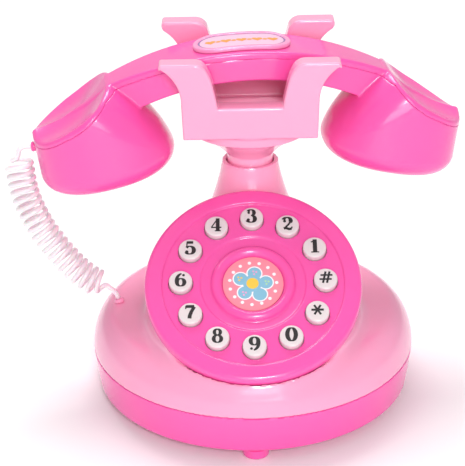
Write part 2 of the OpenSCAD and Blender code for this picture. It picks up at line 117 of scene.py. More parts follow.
def skin(field, low, high, grain):
    """Vertices and quads of the surface where the field is zero, in millimetres."""
    block = 4
    count = [int(math.ceil((high[k] - low[k]) / grain / block)) for k in range(3)]
    middle = [low[k] + grain * (block * np.arange(count[k]) + (block - 1) / 2) for k in range(3)]
    coarse = field(*np.meshgrid(*middle, indexing="ij"))
    values = coarse
    near = np.abs(coarse) < grain * block * 1.3
    for k in range(3):
        values = np.repeat(values, block, axis=k)
        near = np.repeat(near, block, axis=k)
    spots = np.nonzero(near)
    values = values.astype(np.float64)
    values[spots] = field(*[low[k] + grain * spots[k] for k in range(3)])
    inside = values < 0
    corners = [(i, j, k) for i in (0, 1) for j in (0, 1) for k in (0, 1)]
    size = [n - 1 for n in values.shape]
    total = sum(inside[i:i + size[0], j:j + size[1], k:k + size[2]].astype(np.int8) for i, j, k in corners)
    crossed = (total > 0) & (total < 8)
    cells = np.argwhere(crossed)
    number = np.full(crossed.shape, -1, np.int64)
    number[crossed] = np.arange(len(cells))
    place = np.zeros((len(cells), 3))
    hits = np.zeros(len(cells))
    for first in corners:
        for axis in range(3):
            if first[axis]:
                continue
            second = tuple(1 if k == axis else first[k] for k in range(3))
            a, b = corner_values(values, cells, first), corner_values(values, cells, second)
            crosses = (a < 0) != (b < 0)
            share = np.where(crosses, a / np.where(crosses, a - b, 1), 0)
            spot = np.array(first) + share[:, None] * (np.array(second) - np.array(first))
            place += spot * crosses[:, None]
            hits += crosses
    points = np.array(low) + grain * (cells + place / hits[:, None])
    quads = []
    for axis in range(3):
        b, c = (axis + 1) % 3, (axis + 2) % 3
        ahead = [slice(None)] * 3
        behind = [slice(None)] * 3
        ahead[axis], behind[axis] = slice(1, None), slice(None, -1)
        change = inside[tuple(behind)] != inside[tuple(ahead)]
        edges = np.argwhere(change)
        edges = edges[np.all((edges[:, [b, c]] >= 1), axis=1)]
        edges = edges[(edges[:, b] < crossed.shape[b]) & (edges[:, c] < crossed.shape[c])]
        step_b, step_c = np.eye(3, dtype=int)[b], np.eye(3, dtype=int)[c]
        around = [edges - step_b - step_c, edges - step_c, edges, edges - step_b]
        ids = np.stack([number[tuple(cell.T)] for cell in around], axis=1)
        outward = inside[tuple(edges.T)]
        ids = np.where(outward[:, None], ids, ids[:, ::-1])
        quads.append(ids[np.all(ids >= 0, axis=1)])
    quads = np.concatenate(quads)
    for sweep in range(3):
        if sweep:
            links = np.concatenate([quads[:, [i, (i + 1) % 4]] for i in range(4)])
            links = np.concatenate([links, links[:, ::-1]])
            weight = np.bincount(links[:, 0], minlength=len(points))
            mean = np.stack([np.bincount(links[:, 0], points[links[:, 1], k], len(points))
                             for k in range(3)], 1)
            points = 0.5 * points + 0.5 * mean / np.maximum(weight, 1)[:, None]
        for _ in range(2):
            reach = grain * 0.1
            slope = np.stack([
                (field(*(points + reach * axis).T) - field(*(points - reach * axis).T)) / (2 * reach)
                for axis in np.eye(3)], axis=1)
            gap = field(*points.T)
            move = (gap / np.maximum((slope ** 2).sum(1), 0.2))[:, None] * slope
            longest = np.linalg.norm(move, axis=1, keepdims=True)
            points = points - move * np.minimum(1, 0.5 * grain / np.maximum(longest, 1e-9))
    return points, quads


def add_mesh(name, points, faces, material, place=None):
    """A smooth-shaded mesh from millimetre points, moved by place."""
    mesh = bpy.data.meshes.new(name)
    points = np.asarray(points, float) * mm
    mesh.from_pydata([tuple(p) for p in points], [], [tuple(int(i) for i in f) for f in faces])
    mesh.validate()
    if place is not None:
        mesh.transform(place)
    mesh.shade_smooth()
    mesh.materials.append(material)
    piece = bpy.data.objects.new(name, mesh)
    bpy.context.scene.collection.objects.link(piece)
    return piece


def mould(name, field, low, high, grain, material, place=None):
    """A piece whose surface is where the field is zero. grain is the mesh size in millimetres."""
    grain = grain * 1
    points, quads = skin(field, low, high, grain)
    piece = add_mesh(name, points, quads, material, place)
    piece.data.set_sharp_from_angle(angle=math.radians(50))
    return piece


def turn(name, outline, material, place=None, steps=96):
    """A piece turned from an outline of (radius, height) points that starts and ends on the axis."""
    points, faces = [], []
    rings = []
    for radius, height in outline:
        if radius < 1e-6:
            rings.append([len(points)])
            points.append((0, 0, height))
        else:
            rings.append(list(range(len(points), len(points) + steps)))
            for i in range(steps):
                a = 2 * math.pi * i / steps
                points.append((radius * math.cos(a), radius * math.sin(a), height))
    for low_ring, high_ring in zip(rings, rings[1:]):
        for i in range(steps):
            j = (i + 1) % steps
            if len(low_ring) == 1 and len(high_ring) == 1:
                continue
            if len(low_ring) == 1:
                faces.append((low_ring[0], high_ring[j], high_ring[i]))
            elif len(high_ring) == 1:
                faces.append((low_ring[i], low_ring[j], high_ring[0]))
            else:
                faces.append((low_ring[i], low_ring[j], high_ring[j], high_ring[i]))
    piece = add_mesh(name, points, faces, material, place)
    piece.data.set_sharp_from_angle(angle=math.radians(38))
    return piece


def node(tree, kind, **inputs):
    made = tree.nodes.new(kind)
    for key, value in inputs.items():
        made.inputs[key.replace("_", " ")].default_value = value
    return made


def plastic(name, colour, deep, roughness=0.22, glow=0.15, grain=900.0, coat=0.5):
    """Moulded plastic: slight flow marks in the colour, uneven gloss and a fine skin."""
    material = bpy.data.materials.new(name)
    material.use_nodes = True
    tree = material.node_tree
    shader = tree.nodes["Principled BSDF"]
    where = tree.nodes.new("ShaderNodeTexCoord")
    flow = node(tree, "ShaderNodeTexNoise", Scale=38.0, Detail=3.0, Roughness=0.55)
    flow.noise_dimensions = "3D"
    blend = tree.nodes.new("ShaderNodeMix")
    blend.data_type = "RGBA"
    blend.inputs["A"].default_value = (*colour, 1)
    blend.inputs["B"].default_value = (*deep, 1)
    amount = node(tree, "ShaderNodeMapRange", From_Min=0.35, From_Max=0.75, To_Min=0.0, To_Max=0.15)
    handling = node(tree, "ShaderNodeTexNoise", Scale=130.0, Detail=4.0, Roughness=0.6)
    gloss = node(tree, "ShaderNodeMapRange", From_Min=0.3, From_Max=0.7,
                 To_Min=roughness - 0.03, To_Max=roughness + 0.05)
    skin_grain = node(tree, "ShaderNodeTexNoise", Scale=grain, Detail=2.0, Roughness=0.5)
    sink = node(tree, "ShaderNodeTexNoise", Scale=55.0, Detail=1.0)
    fine = node(tree, "ShaderNodeBump", Strength=0.02, Distance=0.0001)
    broad = node(tree, "ShaderNodeBump", Strength=0.03, Distance=0.001)
    link = tree.links.new
    for texture in (flow, handling, skin_grain, sink):
        link(where.outputs["Object"], texture.inputs["Vector"])
    link(flow.outputs["Fac"], amount.inputs["Value"])
    link(amount.outputs["Result"], blend.inputs["Factor"])
    link(blend.outputs["Result"], shader.inputs["Base Color"])
    link(handling.outputs["Fac"], gloss.inputs["Value"])
    link(gloss.outputs["Result"], shader.inputs["Roughness"])
    link(sink.outputs["Fac"], broad.inputs["Height"])
    link(skin_grain.outputs["Fac"], fine.inputs["Height"])
    link(broad.outputs["Normal"], fine.inputs["Normal"])
    link(fine.outputs["Normal"], shader.inputs["Normal"])
    shader.inputs["IOR"].default_value = 1.49
    shader.inputs["Subsurface Weight"].default_value = glow
    shader.inputs["Subsurface Radius"].default_value = (1.0, 0.45, 0.6)
    shader.inputs["Subsurface Scale"].default_value = 0.004
    shader.inputs["Coat Weight"].default_value = coat
    shader.inputs["Coat Roughness"].default_value = 0.1
    return material


def box_mm(name):
    """Lowest and highest corner of a CAD node, in millimetres."""
    return [np.array(corner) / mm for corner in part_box(name)]


tray_low, tray_high = box_mm("base_tray")
shell_low, shell_high = box_mm("base_shell")
door_low, door_high = box_mm("battery_door")
screw_high = box_mm("tray_screws")[1]
speaker_low, speaker_high = box_mm("speaker")
base_r = float(tray_high[0])
seam_z = float(shell_low[2])
tray_floor = float(tray_low[2])
tray_foot_r = base_r - 1.5
screw_x = float(screw_high[0]) - 2.7
screw_y = float(screw_high[1]) - 2.7
sound_x = float(speaker_low[0] + speaker_high[0]) / 2
sound_y = float(speaker_low[1] + speaker_high[1]) / 2

hot_pink = plastic("hot_pink_plastic", HOT_PINK, HOT_PINK_DEEP)

tray_outline = flat_shape(
    [(0, tray_floor), (tray_foot_r - 1.2, tray_floor)]
    + arc((tray_foot_r - 1.2, tray_floor + 1.2), 1.2, -90, 0, 6)[1:]
    + [(base_r, seam_z - 0.15), (base_r - wall, seam_z - 0.15), (base_r - wall, seam_z + 1.3),
       (base_r - 2 * wall, seam_z + 1.3), (tray_foot_r - wall - 1, tray_floor + wall),
       (0, tray_floor + wall)])


def tray_field(x, y, z):
    tray = tray_outline(np.hypot(x, y), z)
    for sx in (-1, 1):
        for sy in (-1, 1):
            well = np.hypot(x - sx * screw_x, y - sy * screw_y)
            boss = meet(well - 3.6, np.maximum(z - seam_z + 4, tray_floor + 1 - z), 0.3)
            tray = join(tray, boss, 0.5)
            tray = cut(tray, np.maximum(well - 3.0, z - 8), 0.25)
    half = (door_high - door_low) / 2 + 0.25
    middle = (door_high + door_low) / 2
    opening = np.maximum(np.abs(x - middle[0]) - half[0], np.abs(y - middle[1]) - half[1])
    tray = cut(tray, np.maximum(opening, z - 12), 0.3)
    for i in range(-3, 4):
        slot = meet(np.abs(x - sound_x - 2.6 * i) - 0.8, np.abs(y - sound_y) - 7, 0.7)
        tray = cut(tray, np.maximum(slot, z - 10), 0.2)
    return tray


base_tray = mould("tray", tray_field, (-base_r - 1, -base_r - 1, tray_floor - 1),
                  (base_r + 1, base_r + 1, seam_z + 3), 0.6, hot_pink)
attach(base_tray, "base")
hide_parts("base_tray")


# ---------------------------------------------------------------------------------------------
# Feet: four small round pads in the same plastic, pegged into the floor of the tray at the
# front, back and sides, so that the phone stands a few millimetres off the table.
# ---------------------------------------------------------------------------------------------

foot_r = 4.4
feet_high = box_mm("feet")[1]
foot_ring = float(feet_high[0]) - foot_r
foot_outline = ([(0, 0)] + arc((foot_r - 1, 1), 1, -90, 0, 6)
                + [(foot_r, 3.2), (foot_r - 0.5, 3.4), (foot_r - 0.5, tray_floor + 0.3),
                   (0, tray_floor + 0.3)])
for i, side in enumerate(("right", "back", "left", "front")):
    angle = math.pi / 2 * i
    spot = Matrix.Translation((foot_ring * math.cos(angle) * mm, foot_ring * math.sin(angle) * mm, 0))
    foot = turn("foot_" + side, foot_outline, hot_pink, spot, 48)
    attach(foot, "base")
    if side == "front":
        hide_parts("feet")


# ---------------------------------------------------------------------------------------------
# Things inside the base: battery box, cells, contacts, speaker and the hook's switch on its
# tower. They are plain moulded, stamped and bought-in parts, closed in by tray and shell.
# ---------------------------------------------------------------------------------------------

def metal(name, colour, roughness):
    """Plated steel with fine drawn scratches."""
    worn = tuple(0.8 * c for c in colour)
    material = plastic(name, colour, worn, roughness, glow=0.0, grain=1600.0, coat=0.0)
    material.node_tree.nodes["Principled BSDF"].inputs["Metallic"].default_value = 1.0
    return material


LIGHT_PINK = (0.96, 0.36, 0.56)
LIGHT_PINK_DEEP = (0.95, 0.3, 0.5)
light_pink = plastic("light_pink_plastic", LIGHT_PINK, LIGHT_PINK_DEEP)
steel = metal("plated_steel", (0.72, 0.72, 0.75), 0.28)
dark_plastic = plastic("dark_plastic", (0.03, 0.03, 0.035), (0.015, 0.015, 0.02), 0.4, glow=0.0)
grey_rubber = plastic("grey_rubber", (0.4, 0.4, 0.41), (0.3, 0.3, 0.31), 0.65, glow=0.1, coat=0.0)
green_board = plastic("green_board", (0.03, 0.2, 0.07), (0.01, 0.12, 0.04), 0.35, glow=0.0)
finishes = {
    hot_pink: ("battery_door", "switch_tower", "earpiece_grille", "mouthpiece_grille"),
    light_pink: ("battery_box", "hook_plunger"),
    steel: ("tray_screws", "battery_contacts", "door_screw", "dial_screws", "plunger_clip",
            "hook_spring", "handset_screws"),
    dark_plastic: ("batteries", "speaker", "hook_switch", "sound_chip"),
    grey_rubber: ("rubber_keypad",),
    green_board: ("circuit_board",),
}
for finish, names in finishes.items():
    for name in names:
        part = frame["nodes"][name]
        part.data.materials.clear()
        part.data.materials.append(finish)


# ---------------------------------------------------------------------------------------------
# Base shell: one light-pink moulding that makes the dome, the slim neck behind it and the
# tilted drum that carries the dial. It snaps over the lip of the tray and is screwed from below.
# ---------------------------------------------------------------------------------------------

dial_normal = Vector(next(j["axis"] for j in frame["joints"] if j["name"] == "key_1_press"))
dial_up = Vector((0, dial_normal.z, -dial_normal.y))
medal_low, medal_high = box_mm("medallion")
dial_middle = Vector((medal_low + medal_high) / 2) + 0.95 * dial_normal
clip_low, clip_high = box_mm("plunger_clip")
spring_low = box_mm("hook_spring")[0]
neck_y = float(clip_low[1] + clip_high[1]) / 2
neck_z = float(shell_high[2])
neck_r = 9.6
neck_foot_r = 26.0
neck_foot_z = neck_z - 44.3
ledge_z = float(spring_low[2]) - 0.1
guide_z = ledge_z - 8
shoulder_w = 9.0
shoulder_h = 13.2
drum_r = 35.1
plate_back = -4.3
dial_r = 35.5
stem_r = 7.8
rod_r = 4.1


def dial_coordinates(x, y, z):
    """Radius across the dial and height out of its face."""
    dy, dz = y - dial_middle.y, z - dial_middle.z
    up = dial_up.y * dy + dial_up.z * dz
    out = dial_normal.y * dy + dial_normal.z * dz
    return np.hypot(x - dial_middle.x, up), out


dome_outline = flat_shape(
    [(-5, 5), (base_r, 5)]
    + [(base_r - shoulder_w + shoulder_w * math.cos(a), seam_z + shoulder_h * math.sin(a))
       for a in np.radians(np.linspace(0, 90, 18))]
    + [(-5, seam_z + shoulder_h + 5.4)])


def neck_radius(z):
    return neck_r + (neck_foot_r - neck_r) * ((neck_z - z) / (neck_z - neck_foot_z)) ** 1.35


neck_outline = flat_shape(
    [(-5, 24), (neck_foot_r + 2, 24)]
    + [(neck_radius(z), z) for z in np.linspace(neck_foot_z, neck_z - 1.2, 18)]
    + arc((neck_r - 1.2, neck_z - 1.2), 1.2, 15, 90, 6) + [(-5, neck_z)])


def shell_field(x, y, z):
    dome = dome_outline(np.hypot(x, y), z)
    from_neck = np.hypot(x, y - neck_y)
    neck = neck_outline(from_neck, z)
    radius, out = dial_coordinates(x, y, z)
    drum = meet(radius - drum_r, out - plate_back, 0.3)
    drum = np.maximum(drum, seam_z + 4 - z)
    shell = hollow(join(join(drum, neck, 3.0), dome, 5.0), wall)
    guide = np.maximum(from_neck - 9.6, np.maximum(guide_z - z, z - neck_z))
    shell = np.minimum(shell, guide)
    for sx in (-1, 1):
        for sy in (-1, 1):
            boss = np.abs(np.hypot(x - sx * screw_x, y - sy * screw_y) - 2.3) - 0.9
            shell = np.minimum(shell, np.maximum(boss, z - seam_z - 11))
    shell = cut(shell, np.maximum(radius - drum_r + wall, plate_back - 3 - out), 0.3)
    shell = cut(shell, np.maximum(radius - dial_r - 0.25, plate_back - out), 0.3)
    shell = cut(shell, np.maximum(from_neck - stem_r - 0.3, ledge_z - z), 0.3)
    shell = np.maximum(shell, -np.maximum(from_neck - rod_r - 0.3, guide_z - 1 - z))
    return meet(shell, seam_z - z, 0.35)


shell_piece = mould("shell", shell_field, (-base_r - 1, -base_r - 1, seam_z - 1),
                    (base_r + 1, base_r + 1, neck_z + 1), 0.6, light_pink)
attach(shell_piece, "base")
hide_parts("base_shell")


# ---------------------------------------------------------------------------------------------
# Dial plate: a hot-pink disc that copies the finger wheel of an old telephone. It has a broad
# rim, a sunken key ring with twelve round holes, and a ridge around the centre for a medallion.
# ---------------------------------------------------------------------------------------------

rim_height = 0.3
groove_r = 29.6
step_r = 17.15
ridge_r = 11.8
sticker_r = 9.9
key_r = 3.85
key_ring_r = 23.6
dial_place = Matrix((
    (1, 0, 0, dial_middle.x * mm),
    (0, dial_up.y, dial_normal.y, dial_middle.y * mm),
    (0, dial_up.z, dial_normal.z, dial_middle.z * mm),
    (0, 0, 0, 1)))
dial_outline = flat_shape(
    [(-5, -2), (32.4, -2), (32.4, plate_back), (dial_r - 0.5, plate_back), (dial_r, plate_back + 0.5)]
    + arc((dial_r - 1.9, rim_height - 1.6), 1.9, 0, 82, 8)
    + [(groove_r + 2.2, 0.72), (groove_r + 0.5, 0.72), (groove_r + 0.18, 0.5), (groove_r + 0.1, 0.05),
       (groove_r - 0.2, -0.12), (groove_r - 0.6, 0.0), (step_r + 0.5, 0.0), (step_r + 0.2, -0.1),
       (step_r, -0.5), (step_r - 0.6, -0.62), (ridge_r + 2.3, -0.95)]
    + arc((ridge_r + 0.2, -0.95), 1.8, 15, 165, 10)
    + [(sticker_r + 0.3, -0.5), (sticker_r + 0.15, -1.15), (-5, -1.15)])


def dial_field(x, y, z):
    radius = np.hypot(x, y)
    plate = dial_outline(radius, z)
    for i in range(12):
        a = math.radians(30 * i)
        hole = np.hypot(x - key_ring_r * math.cos(a), y - key_ring_r * math.sin(a)) - key_r - 0.22
        plate = cut(plate, hole, 0.25)
    spigot = np.maximum(np.abs(radius - 32.05) - 0.85, np.abs(z + 4.2) - 2.1)
    plate = np.minimum(plate, spigot)
    for a in np.radians((90, 210, 330)):
        post = np.hypot(x - 14.5 * math.cos(a), y - 14.5 * math.sin(a))
        plate = np.minimum(plate, np.maximum(np.abs(post - 1.85) - 0.75, np.abs(z + 5.4) - 3.6))
    return plate


dial_piece = mould("dial_disc", dial_field, (-dial_r - 1, -dial_r - 1, -10), (dial_r + 1, dial_r + 1, 2.5),
                   0.36, hot_pink, dial_place)
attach(dial_piece, "base")
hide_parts("dial_plate")


# ---------------------------------------------------------------------------------------------
# Medallion: a round paper sticker set into the middle of the dial. It is printed with a blue
# flower edged in white and a ring of white dots on salmon pink.
# ---------------------------------------------------------------------------------------------

def ink(name, colour, roughness=0.35):
    """Printing ink, with the slight unevenness of a printed sheet."""
    return plastic(name, colour, tuple(0.85 * c for c in colour), roughness, glow=0.0, grain=2500.0, coat=0.0)


def circle(x, y, radius, steps=28):
    return [(x + radius * math.cos(2 * math.pi * i / steps), y + radius * math.sin(2 * math.pi * i / steps))
            for i in range(steps)]


def print_flat(name, outlines, height, material, place, bend=None):
    """Printed patches: each outline is one thin filled shape, laid at that height on its sheet."""
    points, faces = [], []
    for i, outline in enumerate(outlines):
        start = len(points)
        level = height + 0.0012 * i
        points += [(x, y, level) if bend is None else bend(x, y, level) for x, y in outline]
        faces.append(tuple(range(start, len(points))))
    piece = add_mesh(name, points, faces, material, place)
    piece.data.shade_flat()
    return piece


def rest_on_base(piece):
    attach(piece, "base")
    return piece


salmon_ink = ink("salmon_ink", (0.95, 0.28, 0.36))
white_ink = ink("white_ink", (0.95, 0.93, 0.95))
blue_ink = ink("blue_ink", (0.24, 0.52, 0.68))
yellow_ink = ink("yellow_ink", (0.95, 0.6, 0.07))
pink_ink = ink("pink_ink", (0.9, 0.35, 0.6))
green_ink = ink("green_ink", (0.45, 0.75, 0.35))
sticker_top = -0.8
sticker_outline = [(0, sticker_top - 0.3), (sticker_r, sticker_top - 0.3), (sticker_r, sticker_top - 0.06),
                   (sticker_r - 0.06, sticker_top), (0, sticker_top)]
medallion = turn("medallion_disc", sticker_outline, salmon_ink, dial_place)
rest_on_base(medallion)
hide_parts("medallion")
petals = [(0.5, 3.75), (4.15, 0.4), (2.15, -3.95), (-2.75, -3.25), (-4.05, 1.8)]
petal_marks = [pink_ink, green_ink, blue_ink, pink_ink, yellow_ink]
rest_on_base(print_flat("flower_edge", [circle(x, y, 2.65) for x, y in petals] + [circle(-0.2, 0.1, 3.4)],
                        sticker_top + 0.01, white_ink, dial_place))
rest_on_base(print_flat("flower_petals", [circle(x, y, 2.25) for x, y in petals] + [circle(-0.2, 0.1, 3.1)],
                        sticker_top + 0.02, blue_ink, dial_place))
for i, ((x, y), mark) in enumerate(zip(petals, petal_marks)):
    spots = [circle(x * 1.08 + 0.62 * math.cos(a), y * 1.08 + 0.62 * math.sin(a), 0.33, 12)
             for a in (0.4, 2.3, 4.5)]
    rest_on_base(print_flat("petal_mark_%d" % (i + 1), spots, sticker_top + 0.03, mark, dial_place))
flower_middle = print_flat("flower_middle", [circle(-0.2, 0.1, 2.0)], sticker_top + 0.035, yellow_ink,
                           dial_place)
rest_on_base(flower_middle)
dots = [circle(7.7 * math.cos(a), 7.7 * math.sin(a), 0.58, 14) for a in np.radians(np.arange(15) * 24 + 74)]
rest_on_base(print_flat("sticker_dots", dots, sticker_top + 0.01, white_ink, dial_place))


# ---------------------------------------------------------------------------------------------
# Keys: twelve round white push keys with a flange behind the plate, each held out by its rubber
# dome. A bold figure is pad-printed on each one, a little above its middle.
# ---------------------------------------------------------------------------------------------

key_white = plastic("key_white_plastic", (0.74, 0.66, 0.67), (0.7, 0.61, 0.63), 0.3, glow=0.2)
figure_ink = ink("figure_ink", (0.015, 0.012, 0.014), 0.6)
key_top = 2.0
key_outline = ([(0, -3.1), (4.8, -3.1), (4.8, -2.1), (key_r, -2.1)]
               + arc((key_r - 0.6, key_top - 0.6), 0.6, 0, 90, 6) + [(0, key_top)])


def bow(x, y, rx, ry, start, end, steps=26):
    """A curved pen stroke: part of an ellipse, angles in degrees."""
    return [(x + rx * math.cos(a), y + ry * math.sin(a)) for a in np.radians(np.linspace(start, end, steps))]


def straight(*ends):
    points = [ends[0]]
    for (ax, ay), (bx, by) in zip(ends, ends[1:]):
        points += [(ax + (bx - ax) * t / 6, ay + (by - ay) * t / 6) for t in range(1, 7)]
    return points


FIGURES = {
    "0": [(bow(0.36, 0.5, 0.27, 0.45, 90, 450, 40), 0.2, 0.06)],
    "1": [(straight((0.38, 0.0), (0.38, 0.98)), 0.2, 0.2), (straight((0.12, 0.03), (0.64, 0.03)), 0.06, 0.06),
          (straight((0.12, 0.78), (0.25, 0.82), (0.34, 0.95)), 0.08, 0.06)],
    "2": [(bow(0.34, 0.72, 0.24, 0.24, 165, -35), 0.2, 0.07),
          (straight((0.54, 0.6), (0.42, 0.42), (0.14, 0.12)), 0.1, 0.08),
          (straight((0.1, 0.12), (0.24, 0.16), (0.45, 0.07), (0.62, 0.1)), 0.13, 0.13),
          (straight((0.62, 0.1), (0.66, 0.26)), 0.06, 0.06)],
    "3": [(bow(0.32, 0.75, 0.2, 0.22, 160, -90), 0.18, 0.06),
          (bow(0.31, 0.27, 0.26, 0.26, 90, -160), 0.2, 0.06)],
    "4": [(straight((0.46, 0.0), (0.46, 0.98)), 0.18, 0.18),
          (straight((0.46, 0.96), (0.04, 0.3)), 0.06, 0.06),
          (straight((0.02, 0.29), (0.7, 0.29)), 0.07, 0.07),
          (straight((0.26, 0.03), (0.66, 0.03)), 0.06, 0.06)],
    "5": [(straight((0.14, 0.9), (0.56, 0.9)), 0.14, 0.14), (straight((0.16, 0.93), (0.13, 0.5)), 0.06, 0.06),
          (bow(0.33, 0.32, 0.27, 0.29, 140, -155), 0.2, 0.06)],
    "6": [(bow(0.37, 0.3, 0.24, 0.27, 90, 450, 36), 0.19, 0.06),
          (bow(0.5, 0.4, 0.4, 0.54, 190, 100), 0.16, 0.06)],
    "7": [(straight((0.08, 0.88), (0.62, 0.88)), 0.15, 0.15),
          (straight((0.08, 0.93), (0.07, 0.7)), 0.06, 0.06),
          (straight((0.62, 0.86), (0.42, 0.48), (0.33, 0.22), (0.31, 0.02)), 0.18, 0.06)],
    "8": [(bow(0.36, 0.74, 0.19, 0.21, 90, 450, 36), 0.16, 0.07),
          (bow(0.36, 0.27, 0.24, 0.25, 90, 450, 36), 0.18, 0.06)],
    "9": [(bow(0.35, 0.7, 0.24, 0.27, 90, 450, 36), 0.19, 0.06),
          (bow(0.22, 0.6, 0.4, 0.54, 10, -80), 0.16, 0.06)],
    "star": [(straight((-0.04, 0.5), (0.76, 0.5)), 0.11, 0.11),
             (straight((0.15, 0.16), (0.57, 0.84)), 0.1, 0.1),
             (straight((0.57, 0.16), (0.15, 0.84)), 0.1, 0.1)],
    "hash": [(straight((0.02, 0.66), (0.8, 0.66)), 0.09, 0.09),
             (straight((-0.06, 0.36), (0.74, 0.36)), 0.09, 0.09),
             (straight((0.16, 0.08), (0.36, 0.92)), 0.1, 0.1),
             (straight((0.42, 0.08), (0.62, 0.92)), 0.1, 0.1)],
}
FIGURE_DOTS = {
    "2": [(0.17, 0.68, 0.1)], "3": [(0.17, 0.74, 0.09), (0.13, 0.2, 0.11)], "5": [(0.14, 0.2, 0.11)],
    "6": [(0.56, 0.82, 0.09)], "9": [(0.15, 0.17, 0.09)],
}
figure_height = 5.0


def stroke_strip(points, thick, thin):
    """Left and right edge of a pen stroke, wide where it runs up and down and fine where it runs across."""
    left, right = [], []
    for i, (x, y) in enumerate(points):
        ax, ay = points[max(i - 1, 0)]
        bx, by = points[min(i + 1, len(points) - 1)]
        length = math.hypot(bx - ax, by - ay)
        dx, dy = (bx - ax) / length, (by - ay) / length
        half = (1.4 * thin + 1.4 * (thick - thin) * abs(dy) ** 1.5) / 2
        left.append((x - dy * half, y + dx * half))
        right.append((x + dy * half, y - dx * half))
    return left, right


def add_figure(name, figure, middle):
    points, faces = [], []
    for level, (line, thick, thin) in enumerate(FIGURES[figure]):
        left, right = stroke_strip(line, thick, thin)
        start = len(points)
        for a, b in zip(left, right):
            points += [(*a, level), (*b, level)]
        faces += [(start + 2 * i, start + 2 * i + 1, start + 2 * i + 3, start + 2 * i + 2)
                  for i in range(len(line) - 1)]
    for x, y, radius in FIGURE_DOTS.get(figure, ()):
        start = len(points)
        points += [(*p, 4) for p in circle(x, y, radius, 16)]
        faces.append(tuple(range(start, start + 16)))
    placed = [(middle[0] + (x - 0.36) * figure_height, middle[1] + 0.45 + (y - 0.5) * figure_height,
               key_top + 0.012 + 0.002 * level) for x, y, level in points]
    piece = add_mesh(name, placed, faces, figure_ink, dial_place)
    piece.data.shade_flat()
    return piece


for i, key in enumerate(("hash", "1", "2", "3", "4", "5", "6", "7", "8", "9", "0", "star")):
    angle = math.radians(30 * i)
    middle = (key_ring_r * math.cos(angle), key_ring_r * math.sin(angle))
    body = "key_" + key
    cap = turn("cap_" + key, key_outline, key_white,
               dial_place @ Matrix.Translation((middle[0] * mm, middle[1] * mm, 0)), 48)
    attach(cap, body)
    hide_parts(body)
    figure = add_figure("figure_" + key, key, middle)
    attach(figure, body)


# ---------------------------------------------------------------------------------------------
# Cradle: a light-pink moulding with two horned plates, a floor between them and a flared stem.
# The stem slides in the neck and presses the hook switch when the handset lies in the horns.
# ---------------------------------------------------------------------------------------------

cradle_low, cradle_high = box_mm("cradle")
cover_high = box_mm("handset_top_cover")[1]
ear_low, ear_high = box_mm("earpiece_grille")
mouth_low, mouth_high = box_mm("mouthpiece_grille")
ear_middle = (ear_low + ear_high) / 2
mouth_middle = (mouth_low + mouth_high) / 2
handset_yaw = math.atan2(ear_middle[1] - mouth_middle[1], ear_middle[0] - mouth_middle[0])
crown_z = float(cover_high[2])
under_z = crown_z - 9.6
under_r = 82.0
back_horn_z = float(cradle_high[2])
front_horn_z = back_horn_z - 3.4
horn_half = float(cradle_high[0])
cradle_depth = float(cradle_high[1] - cradle_low[1])
cradle_z = neck_z + 15.1
back_notch_z = back_horn_z - 16.6
front_notch_z = front_horn_z - 15.1
plate_t = 7.0
cradle_half = 22.0
stem_bottom = float(cradle_low[2])
stem_waist = stem_bottom + 7.5


def plate_shape(top, notch):
    """Outline of one horned plate, seen from the front."""
    half = (
        [(cradle_half - 0.2, cradle_z), (cradle_half, cradle_z + 0.3), (cradle_half + 0.4, notch + 1)]
        + arc((horn_half + 6.5, notch + 2), horn_half + 6.1 - cradle_half, 180, 122, 12)[1:]
        + [(horn_half - 0.1, top - 2), (horn_half, top - 1.3), (horn_half - 0.3, top - 0.3),
           (horn_half - 1, top)]
        + arc((18.0, top - 4.6), 4.6, 90, 152, 8)
        + [(12.8, notch + 10.2), (12.0, notch + 7.5), (11.3, notch + 4.3), (10.8, notch + 1.6),
           (10.6, notch + 0.2), (10.4, notch)])
    return flat_shape(half + [(-x, z) for x, z in reversed(half)])


front_plate, back_plate = plate_shape(front_horn_z, front_notch_z), plate_shape(back_horn_z, back_notch_z)
bell_outline = flat_shape(
    [(-5, stem_bottom), (stem_r, stem_bottom)]
    + arc((stem_r + 25.9, stem_waist - 22.4), 34.25, 139.1, 113.4, 12)
    + [(cradle_half - 1.6, cradle_z + 0.5), (-5, cradle_z + 0.5)])


def cradle_field(x, y, z):
    y = y - neck_y
    plate_y = (cradle_depth - plate_t) / 2
    plates = np.minimum(meet(front_plate(x, z), np.abs(y + plate_y) - plate_t / 2, 0.6),
                        meet(back_plate(x, z), np.abs(y - plate_y) - plate_t / 2, 0.6))
    floor_box = np.maximum(np.abs(x) - cradle_half + 0.5, np.abs(y) - cradle_depth / 2 + 2)
    floor_plate = meet(floor_box, np.abs(z - cradle_z - 1.3) - 1.25, 0.4)
    turned_x = x * math.cos(handset_yaw) + y * math.sin(handset_yaw)
    under = np.hypot(turned_x, z - under_z + under_r + 0.35) - under_r
    rests = meet(np.abs(np.abs(x) - cradle_half + 2.5) - 1.6, under, 0.6)
    rests = np.maximum(rests, np.maximum(np.abs(y) - cradle_depth / 2 + 2, cradle_z + 0.5 - z))
    bell = bell_outline(np.hypot(x, y), z)
    return join(join(join(floor_plate, plates, 0.8), rests, 0.6), bell, 1.0)


cradle_piece = mould("cradle_fork", cradle_field, (-horn_half - 1, cradle_low[1] - 1, stem_bottom - 1),
                     (horn_half + 1, cradle_high[1] + 1, back_horn_z + 1), 0.45, light_pink)
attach(cradle_piece, "cradle")
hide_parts("cradle")


# ---------------------------------------------------------------------------------------------
# Handset: an arched handle with a deep cup at each end, moulded in hot pink as a lower shell
# and a top cover. The handle narrows to a fine crest over each cup, with a shallow scoop each side.
# ---------------------------------------------------------------------------------------------

